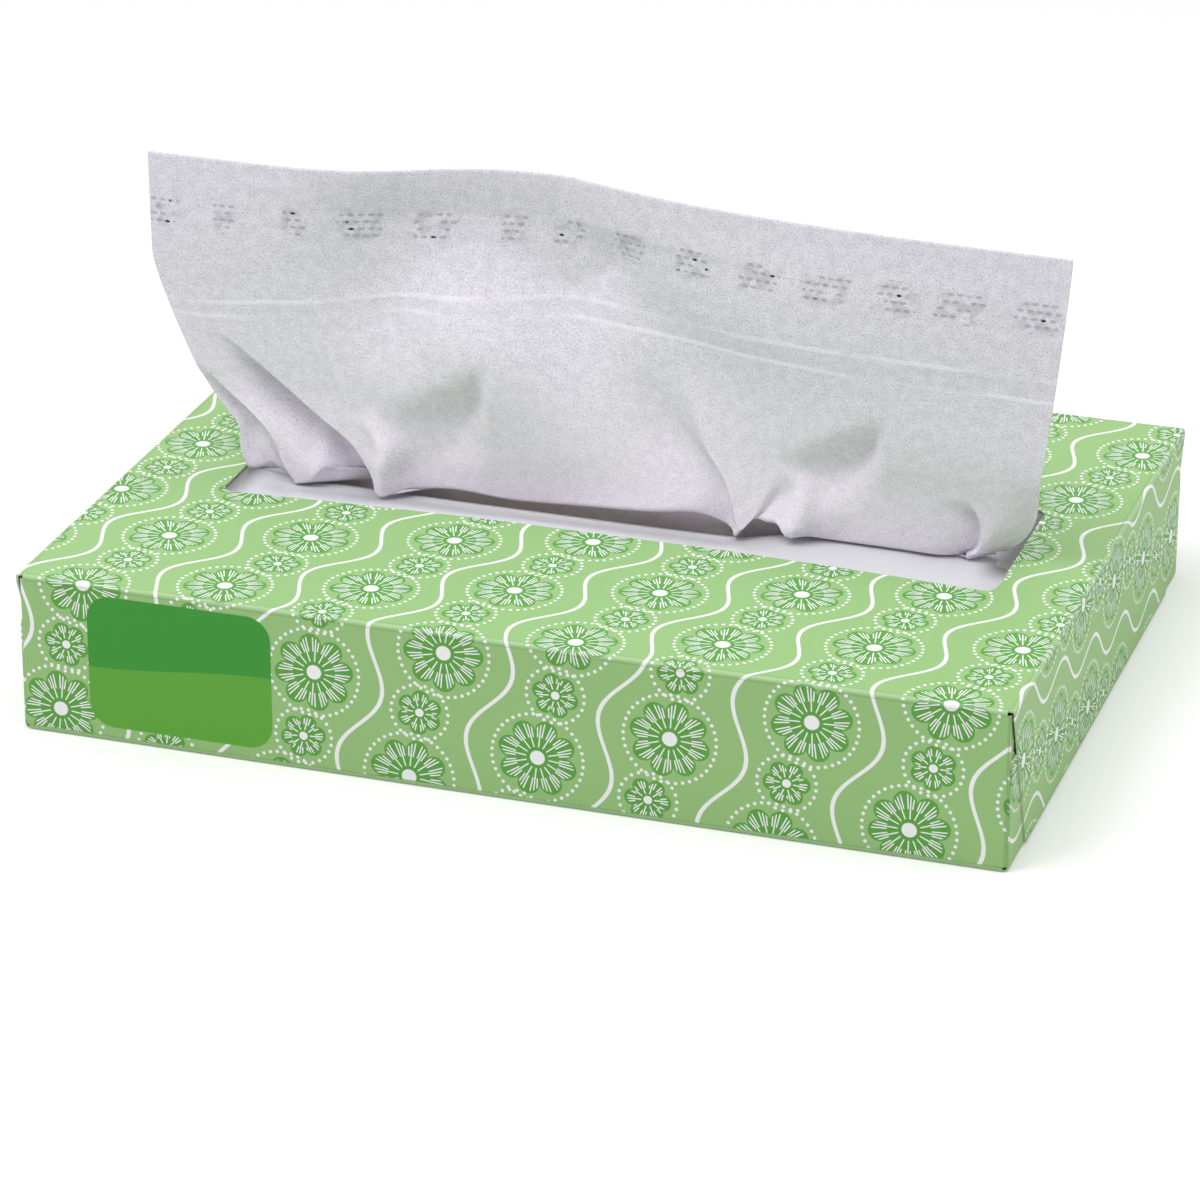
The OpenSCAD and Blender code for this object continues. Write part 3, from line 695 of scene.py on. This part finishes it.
class TissueForm:
    """Shape of the pulled tissue in millimetres, by shares: s across from its left, t down from its top."""

    # A fold: place across and down where it starts, place across where it meets the foot, and its bow
    short_pleat = (0.004, 0.69, 0.069, 0.85)
    long_pleat = (0.046, 0.570, 0.186, 0.9)
    left_ridge = (0.204, 0.76, 0.195, 1)
    middle_pleat = (0.588, 0.47, 0.667, 3)
    notch = (0.690, 0.84, 0.690, 1)
    right_ridge = (0.706, 0.78, 0.740, 1)
    small_pleat = (0.922, 0.82, 0.967, 1)
    tip_fold = (0.014, 0.84, 0.026, 1)
    tip_ridge = (0.030, 0.80, 0.040, 1)
    # A dent has a left corner, an upper corner and a place that its right side runs down to
    left_dent = ((0.190, 0.790), (0.376, 0.545), (0.340, 0.84))
    right_dent = ((0.675, 0.775), (0.832, 0.545), (0.812, 0.78))
    # Lobes at the foot: place across, half widths to the left and right, drop
    lobes = (
        (0.010, 0.02, 0.012, 1.0),
        (0.034, 0.010, 0.008, -1.6),
        (0.064, 0.016, 0.035, 2.8),
        (0.109, 0.010, 0.014, -2.2),
        (0.197, 0.012, 0.09, 1.5),
        (0.37, 0.07, 0.13, 2.1),
        (0.60, 0.04, 0.025, -0.7),
        (0.661, 0.03, 0.014, 3.2),
        (0.690, 0.014, 0.02, -1.5),
        (0.722, 0.02, 0.010, -1.9),
        (0.97, 0.05, 0.03, 0.6),
    )
    # Columns of faces between two neighbouring guides
    columns_between = (12, 44, 56, 50, 34, 50, 30)
    # Height of the foot above the panel, the roll below it, and the line on which the sheet goes down
    foot_gap, roll_r, roll_turn, slit_y = 0.8, 1.0, 78, -2.5
    # How far the top edge lies off-centre to the left
    left_shift = 2.5
    # Room left free at the lips, in the neck's corners and along the tail's sides
    lip_room, neck_room, tail_room = 0.7, 8, 6
    # Height of the bend below the lips, and where the tail ends at the back
    bend_drop, tail_end_y = 1.2, 81.0

    def __init__(self, look, lip_sag):
        self.look = look
        self.w = look.width / MM
        self.top = STAND_TOP / MM - 0.2
        self.h = self.top - CARTON_H / MM - self.foot_gap
        self.lip_z = (FILM_HIGH.z - lip_sag) / MM
        self.tail_z = STACK_TOP / MM + 0.5
        self.left_top_x = -self.w / 2 - self.left_shift
        self.right_top_x = self.left_top_x + self.w
        self.guides = (
            (0, 0, 0, 1), self.short_pleat, self.long_pleat, (0.33, 0, 0.33, 1), self.middle_pleat,
            self.notch, self.small_pleat, (1, 0, 1, 1),
        )

    def way_down(self, fold, t):
        """Share of a fold's own run, from its start to the foot."""
        return np.clip((t - fold[1]) / (1 - fold[1]), 0, 1)

    def fold_at(self, fold, t):
        """Place across of a fold at a height."""
        return mix(fold[0], fold[2], self.way_down(fold, t) ** fold[3])

    def left_of(self, fold, s, t):
        """Millimetres from a fold, positive on its left."""
        return (self.fold_at(fold, t) - s) * self.w

    def pleat(self, fold, s, t, depth, width, edge, flat=(1.3, 1.3), lead=0.45):
        """Steps back at its fold over an edge, and comes forward again to the left over its width."""
        u = self.way_down(fold, t)
        d = np.maximum(0, self.left_of(fold, s, t))
        step = 1 - np.exp(-((d / mix(*edge, u)) ** 1.4))
        return depth * smooth(0, lead, u) * step * np.exp(-((d / width) ** mix(*flat, u)))

    def ridge(self, fold, s, t, height, width):
        return -height * bell(self.left_of(fold, s, t) / width) * smooth(0, 0.7, self.way_down(fold, t))

    def below(self, a, b, s, t):
        """Millimetres from the line through two places, positive below it when it runs to the right."""
        ax, az = (b[0] - a[0]) * self.w, (b[1] - a[1]) * self.h
        return (ax * (t - a[1]) * self.h - az * (s - a[0]) * self.w) / math.hypot(ax, az)

    def dent(self, at, s, t, depth, upper, right, side, start):
        """Goes back below its upper edge and left of its right one, deeper to the right, and fades down."""
        left, top, foot = at
        way = np.clip((s - left[0]) / (top[0] - left[0]), 0, 1)
        inside = smooth(0, upper, self.below(left, top, s, t))
        inside *= smooth(0, mix(right, 20, smooth(0.7, 1, t)), self.below(top, foot, s, t))
        inside *= smooth(0, start, (s - side) * self.w)
        return depth * mix(0.6, 1, way) * inside * (1 - 0.85 * smooth(0.68, 1.05, t))

    def left_x(self, t):
        """The left side: upright at first, then drawn in towards the slit, with a tuck near the foot."""
        drawn = np.clip((t - 0.33) / 0.67, 0, 1) ** 1.35
        return self.left_top_x + self.look.left_draw / MM * drawn + 2.8 * bell((t - 0.88) / 0.06)

    def right_x(self, t):
        """The right side: nearly upright, with a rounded corner at the foot."""
        r = self.look.corner_r / MM
        u = np.clip((t * self.h - (self.h - r)) / r, 0, 1)
        corner = (r - 3) * (1 - np.sqrt(1 - 0.98 * u * u))
        return self.right_top_x - self.look.right_draw / MM * t**1.2 - corner

    def hollow(self, s, t):
        """The upright hollow in the middle, a sharp bend at the top edge that widens downwards."""
        g = smooth(0, 0.42, t)
        d = (s - 0.441 - 0.22 * np.clip((t - 0.15) / 0.85, 0, 1)) * self.w
        soft = mix(0.6, 9.0, smooth(0.1, 0.6, t))
        width = np.where(d < 0, mix(39, 40, g), mix(38, 26, g))
        bluntness = np.where(d < 0, mix(2.9, 2.2, g), mix(1.12, 1.5, g))
        start = 0.42 - 0.18 * bell((s - 0.35) / 0.08) - 0.24 * smooth(0.44, 0.54, s)
        depth = mix(16, 17.6, smooth(0, 0.22, t)) * (1 - np.clip((t - start) / (1 - start), 0, 1))
        return depth * np.exp(-(((np.hypot(d, soft) - soft) / width) ** bluntness))

    def belly(self, s, t):
        """The soft valley that runs down from the hollow's left side, and the bulge to the right of it."""
        valley = 3.2 * bell((s - 0.250) / 0.055) * smooth(0, 0.25, t) * (1 - smooth(0.45, 0.75, t))
        bulge = 3 * bell((s - 0.35) / 0.08) * smooth(0.28, 0.55, t) * (1 - smooth(0.55, 0.85, t))
        return valley - bulge

    def lean(self, s, t):
        """How the sheet leans as a whole, towards the front at its right, its lower left and its middle."""
        right_half = smooth(0.42, 0.60, s)
        far_right = smooth(0.74, 0.80, s)
        far_left = (1 - smooth(0.14, 0.30, s)) * mix(0.85, 1, smooth(0, 0.05, s))
        return (
            mix(-8.4, -12.1, s)
            + 1.8 * t
            - 1.8 * bell((t - 0.8) / 0.2)
            - 2.2 * smooth(0.78, 1, t) * right_half
            + 2.4 * bell((s - 0.43) / 0.15) * smooth(0.5, 1, t)
            + 2.8 * far_right * smooth(0.6, 1, t)
            - 4.5 * far_left * smooth(0.72, 1, t)
            + 5 * smooth(0.955, 1, s) * smooth(0.7, 1, t)
        )

    def left_folds(self, s, t):
        """The pleats, ridges and dent that gather the left side, with pleats that widen downwards."""
        long_width = mix(4, 14, smooth(0.57, 0.88, t))
        short_width = mix(3.5, 8.5, smooth(0.69, 0.92, t))
        return (
            self.pleat(self.long_pleat, s, t, depth=11, width=long_width, edge=(1.8, 5.2), flat=(1.4, 4))
            + self.pleat(self.short_pleat, s, t, depth=8, width=short_width, edge=(1.6, 3.6), flat=(1.4, 2.5))
            + self.pleat(self.tip_fold, s, t, depth=2.5, width=3, edge=(1.0, 0.6), lead=0.4)
            + self.ridge(self.tip_ridge, s, t, height=3, width=2.6)
            + self.ridge(self.left_ridge, s, t, height=5, width=3.6)
            + self.dent(self.left_dent, s, t, depth=7.5, upper=15, right=5, side=0.2, start=3)
        )

    def right_folds(self, s, t):
        """The pleats, ridges and dent of the middle and the right side."""
        return (
            self.pleat(self.middle_pleat, s, t, depth=8, width=15, edge=(8, 2.5), lead=0.6)
            + self.ridge(self.notch, s, t, height=-2.2, width=3)
            + self.ridge(self.right_ridge, s, t, height=3, width=3.2)
            + self.dent(self.right_dent, s, t, depth=6, upper=12, right=4, side=0.68, start=10)
            + self.pleat(self.small_pleat, s, t, depth=5.5, width=4.5, edge=(1.2, 0.8), lead=0.35)
        )

    def stand_y(self, s, t):
        """How far back the sheet stands."""
        form = self.lean(s, t) + self.hollow(s, t) + self.belly(s, t)
        return form + self.left_folds(s, t) + self.right_folds(s, t)

    def lobe(self, s):
        """How far the foot hangs below its mean height."""
        hang = 1.2 * smooth(0.74, 0.80, s) - 0.9 * smooth(0.42, 0.60, s)
        for at, left, right, drop in self.lobes:
            hang = hang + drop * bell((s - at) / np.where(s < at, left, right))
        return hang

    def stand(self, s, t):
        z = self.top - t * (self.h - self.roll_r + self.lobe(s) * smooth(0.7, 1, t))
        return np.stack([mix(self.left_x(t), self.right_x(t), s), self.stand_y(s, t), z], -1)

    def roll(self, s, u):
        """The foot's roll, from the standing sheet to where it turns down into the slit."""
        p = self.stand(s, np.ones_like(s))
        a = np.radians(180 + self.roll_turn * u)
        return p + np.stack([0 * a, self.roll_r * (1 + np.cos(a)), self.roll_r * np.sin(a)], -1)

    def neck_x(self, s):
        room = (self.lip_room - self.slit_y) / (SLIT_GAP / MM / 2)
        return OPENING_SHIFT / MM + (s - 0.5) * (SLIT_L / MM * math.sqrt(1 - room**2) - self.neck_room)

    def neck(self, s, u):
        """The way down through the slit, a curve with its ends at a and b and its handles at c and d."""
        a = self.roll(s, np.ones_like(s))
        b = np.stack([self.neck_x(s), 0 * s + self.slit_y, 0 * s + self.lip_z - self.bend_drop], -1)
        c = np.stack([mix(a[..., 0], b[..., 0], 0.9), mix(a[..., 1], self.slit_y, 0.75), a[..., 2] - 0.2], -1)
        d = np.stack([b[..., 0], 0 * s + self.slit_y - 0.4, mix(a[..., 2], b[..., 2], 0.35)], -1)
        u = u[..., None]
        return (1 - u) ** 3 * a + 3 * (1 - u) ** 2 * u * c + 3 * (1 - u) * u * u * d + u**3 * b

    def tail_x(self, s):
        return (s - 0.5) * (self.w - self.tail_room)

    def bend(self, s, u):
        """The quarter turn from the neck to the tail on the clip."""
        r = self.lip_z - self.bend_drop - self.tail_z
        a = np.radians(180 + 90 * u)
        x = self.neck_x(s) + u * (self.tail_x(s) - self.neck_x(s)) / 2
        return np.stack([x, self.slit_y + r * (1 + np.cos(a)), self.tail_z + r * (1 + np.sin(a))], -1)

    def tail(self, s, u):
        a = self.bend(s, np.ones_like(s))
        x = mix(a[..., 0], self.tail_x(s), smooth(0, 0.5, u))
        return np.stack([x, mix(a[..., 1], self.tail_end_y, u), 0 * s + self.tail_z], -1)

    def column_share(self, c, t):
        """Share across of grid column c. The columns follow the folds down, so that each fold stays sharp."""
        starts = np.concatenate([[0], np.cumsum(self.columns_between)])
        strip = np.clip(np.searchsorted(starts, c, side="right") - 1, 0, len(self.columns_between) - 1)
        u = (c - starts[strip]) / np.array(self.columns_between)[strip]
        # The columns stand closer together beside a guide
        u = u - 0.11 * np.sin(math.tau * u)
        guides = np.stack([self.fold_at(fold, t) for fold in self.guides])
        here = np.arange(len(c))
        return mix(guides[strip, here], guides[strip + 1, here], u)

    def parts(self):
        """The sheet's parts, from top edge to tail: rows of faces, shape, and run along the flat sheet."""
        return (
            (self.look.rows, self.stand, self.h + 2),
            (8, self.roll, 3),
            (8, self.neck, 9),
            (6, self.bend, 6),
            (8, self.tail, 80),
        )


def grid_mesh(columns, rows):
    """A bmesh grid, and the column and row of each of its vertices."""
    bm = bmesh.new()
    bmesh.ops.create_grid(bm, x_segments=columns, y_segments=rows, size=1)
    found = np.array([v.co for v in bm.verts])
    column = np.rint((found[:, 0] + 1) / 2 * columns).astype(int)
    row = np.rint((1 - found[:, 1]) / 2 * rows).astype(int)
    return bm, column, row


class TISSUEBOX_OT_dress_carton(bpy.types.Operator):
    """Gives the carton its printed board"""

    bl_idname = "tissuebox.dress_carton"
    bl_label = "Dress carton"

    def execute(self, context):
        dress(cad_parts["carton"], carton_material(context.scene.carton_print))
        return {"FINISHED"}


class TISSUEBOX_OT_build_film(bpy.types.Operator):
    """Builds the film under the opening, with its slit and sagging lips"""

    bl_idname = "tissuebox.build_film"
    bl_label = "Build film"

    def execute(self, context):
        look = context.scene.slit_film
        form = FilmForm(look)
        bm = bmesh.new()
        rings = [bmesh.ops.create_circle(bm, segments=look.around, radius=1)["verts"]]
        edges = list(bm.edges)
        for _ in range(look.rings):
            made = bmesh.ops.extrude_edge_only(bm, edges=edges)["geom"]
            edges = [e for e in made if isinstance(e, bmesh.types.BMEdge) and e.is_boundary]
            rings.append([v for v in made if isinstance(v, bmesh.types.BMVert)])
        for k, verts in enumerate(rings):
            angles = np.array([math.atan2(v.co.y, v.co.x) for v in verts])
            for vert, point in zip(verts, form.place(angles, k / look.rings)):
                vert.co = point
        bmesh.ops.recalc_face_normals(bm, faces=bm.faces)
        mesh = bpy.data.meshes.new("slit_window")
        bm.to_mesh(mesh)
        bm.free()
        piece = add_piece("slit_window", mesh)
        mesh.shade_smooth()
        shell = piece.modifiers.new("Film", "SOLIDIFY")
        shell.thickness = look.thickness
        shell.offset = -1
        dress(piece, film_material(look))
        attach(piece, "root")
        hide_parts("slit_film")
        return {"FINISHED"}


class TISSUEBOX_OT_dress_clip(bpy.types.Operator):
    """Gives the clip of folded tissues its paper"""

    bl_idname = "tissuebox.dress_clip"
    bl_label = "Dress clip"

    def execute(self, context):
        dress(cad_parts["tissue_stack"], clip_material(context.scene.popup_tissue))
        return {"FINISHED"}


class TISSUEBOX_OT_build_tissue(bpy.types.Operator):
    """Builds the tissue that stands gathered in the slit"""

    bl_idname = "tissuebox.build_tissue"
    bl_label = "Build tissue"

    def execute(self, context):
        look = context.scene.popup_tissue
        form = TissueForm(look, context.scene.slit_film.lip_sag)
        columns = sum(form.columns_between)
        rows = sum(part[0] for part in form.parts())
        bm, column, row = grid_mesh(columns, rows)
        points = np.zeros((len(column), 3))
        flat_v = np.zeros(len(column))
        first, flat = 0, 0.0
        for count, shape, run in form.parts():
            here = (row >= first) & (row <= first + count)
            u = (row[here] - first) / count
            t = u if first == 0 else np.ones_like(u)
            s = form.column_share(column[here], t)
            points[here] = shape(s, u)
            flat_v[here] = flat + u * run
            first += count
            flat += run
        shares = form.column_share(column, np.where(row <= look.rows, row / look.rows, 1.0))
        uv = bm.loops.layers.uv.new("Flat sheet")
        bm.verts.ensure_lookup_table()
        for face in bm.faces:
            for loop in face.loops:
                i = loop.vert.index
                loop[uv].uv = (shares[i] * look.width, flat_v[i] * MM)
        for vert, point in zip(bm.verts, points * MM):
            vert.co = point
        bmesh.ops.recalc_face_normals(bm, faces=bm.faces)
        mesh = bpy.data.meshes.new("pop_up_sheet")
        bm.to_mesh(mesh)
        bm.free()
        piece = add_piece("pop_up_sheet", mesh)
        mesh.shade_smooth()
        shell = piece.modifiers.new("Plies", "SOLIDIFY")
        shell.thickness = look.thickness
        shell.offset = 0
        dress(piece, tissue_material(look))
        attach(piece, "root")
        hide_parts("popup_tissue")
        return {"FINISHED"}


class TISSUEBOX_OT_set_stage(bpy.types.Operator):
    """Sets the floor, the lights and the camera"""

    bl_idname = "tissuebox.set_stage"
    bl_label = "Set stage"

    def execute(self, context):
        look = context.scene.studio
        self.lay_floor(look)
        self.hang_lights(look)
        self.light_sky(context.scene, look)
        self.place_camera(context.scene)
        context.scene.view_settings.view_transform = "Standard"
        return {"FINISHED"}

    def lay_floor(self, look):
        bm = bmesh.new()
        bmesh.ops.create_grid(bm, x_segments=1, y_segments=1, size=FLOOR_HALF)
        mesh = bpy.data.meshes.new("floor")
        bm.to_mesh(mesh)
        bm.free()
        floor = add_piece("floor", mesh)
        floor.location.z = -FLOOR_GAP
        material, tree, shader = new_material("pale_floor")
        shader.inputs["Base Color"].default_value = (*look.floor, 1)
        shader.inputs["Roughness"].default_value = 0.9
        shader.inputs["Specular IOR Level"].default_value = 0.0
        shader.inputs["Emission Color"].default_value = (1, 1, 1, 1)
        seen = tree.nodes.new("ShaderNodeLightPath").outputs["Is Camera Ray"]
        put(tree, shader.inputs["Emission Strength"], math_node(tree, "MULTIPLY", seen, look.floor_glow))
        dress(floor, material)

    def hang_lights(self, look):
        target = Vector((0, 0, CARTON_H))
        for name, watts, size, azimuth, elevation, distance in (
            ("Key", look.key_power, 0.8, -46, 56, 1.4),
            ("End", look.end_power, 0.8, 108, 25, 1.4),
            ("Top", look.top_power, 1.5, 10, 82, 1.3),
        ):
            lamp = bpy.data.lights.new(name, "AREA")
            lamp.energy = watts
            lamp.shape = "SQUARE"
            lamp.size = size
            light = bpy.data.objects.new(name, lamp)
            bpy.context.scene.collection.objects.link(light)
            a, e = math.radians(azimuth), math.radians(elevation)
            away = Vector((math.sin(a) * math.cos(e), -math.cos(a) * math.cos(e), math.sin(e)))
            light.location = target + away * distance
            light.rotation_euler = (-away).to_track_quat("-Z", "Y").to_euler()

    def light_sky(self, scene, look):
        world = bpy.data.worlds.new("Studio")
        scene.world = world
        world.use_nodes = True
        tree = world.node_tree
        background = next(n for n in tree.nodes if n.type == "BACKGROUND")
        background.inputs["Color"].default_value = (1, 1, 1, 1)
        # What the camera sees of the sky, directly, mirrored or through the film, is white
        paths = tree.nodes.new("ShaderNodeLightPath").outputs
        seen = most(tree, *(paths[f"Is {kind} Ray"] for kind in ("Camera", "Glossy", "Transmission")))
        put(tree, background.inputs["Strength"], rise(tree, seen, 0.0, 1.0, look.sky, 1.0))

    def place_camera(self, scene):
        camera = bpy.data.cameras.new("Camera")
        camera.sensor_width = 36
        camera.lens = CAMERA_LENS
        camera.clip_start, camera.clip_end = CAMERA_CLIP
        seat = bpy.data.objects.new("Camera", camera)
        seat.location = CAMERA_PLACE
        seat.rotation_euler = [math.radians(angle) for angle in CAMERA_ANGLES]
        scene.collection.objects.link(seat)
        scene.camera = seat


class TISSUEBOX_PT_panel(bpy.types.Panel):
    """Lists the tissue box's pieces"""

    bl_label = "Tissue box"
    bl_idname = "TISSUEBOX_PT_panel"
    bl_space_type = "VIEW_3D"
    bl_region_type = "UI"
    bl_category = "Tissue box"

    def draw(self, context):
        for name, operator in PIECES:
            box = self.layout.box()
            settings = getattr(context.scene, name)
            for key in settings.__annotations__:
                box.prop(settings, key)
            box.operator(operator)


PIECES = (
    ("carton_print", "tissuebox.dress_carton"),
    ("slit_film", "tissuebox.build_film"),
    ("popup_tissue", "tissuebox.dress_clip"),
    ("popup_tissue", "tissuebox.build_tissue"),
    ("studio", "tissuebox.set_stage"),
)
SETTINGS = {"carton_print": CartonPrint, "slit_film": SlitFilm, "popup_tissue": PopUpTissue, "studio": Studio}
CLASSES = (
    *SETTINGS.values(),
    TISSUEBOX_OT_dress_carton,
    TISSUEBOX_OT_build_film,
    TISSUEBOX_OT_dress_clip,
    TISSUEBOX_OT_build_tissue,
    TISSUEBOX_OT_set_stage,
    TISSUEBOX_PT_panel,
)


def register():
    for cls in CLASSES:
        bpy.utils.register_class(cls)
    for name, kind in SETTINGS.items():
        setattr(bpy.types.Scene, name, PointerProperty(type=kind))


def unregister():
    for name in SETTINGS:
        delattr(bpy.types.Scene, name)
    for cls in reversed(CLASSES):
        bpy.utils.unregister_class(cls)


def main():
    register()
    for operator in ("dress_carton", "build_film", "dress_clip", "build_tissue", "set_stage"):
        getattr(bpy.ops.tissuebox, operator)()


if __name__ == "__main__":
    main()
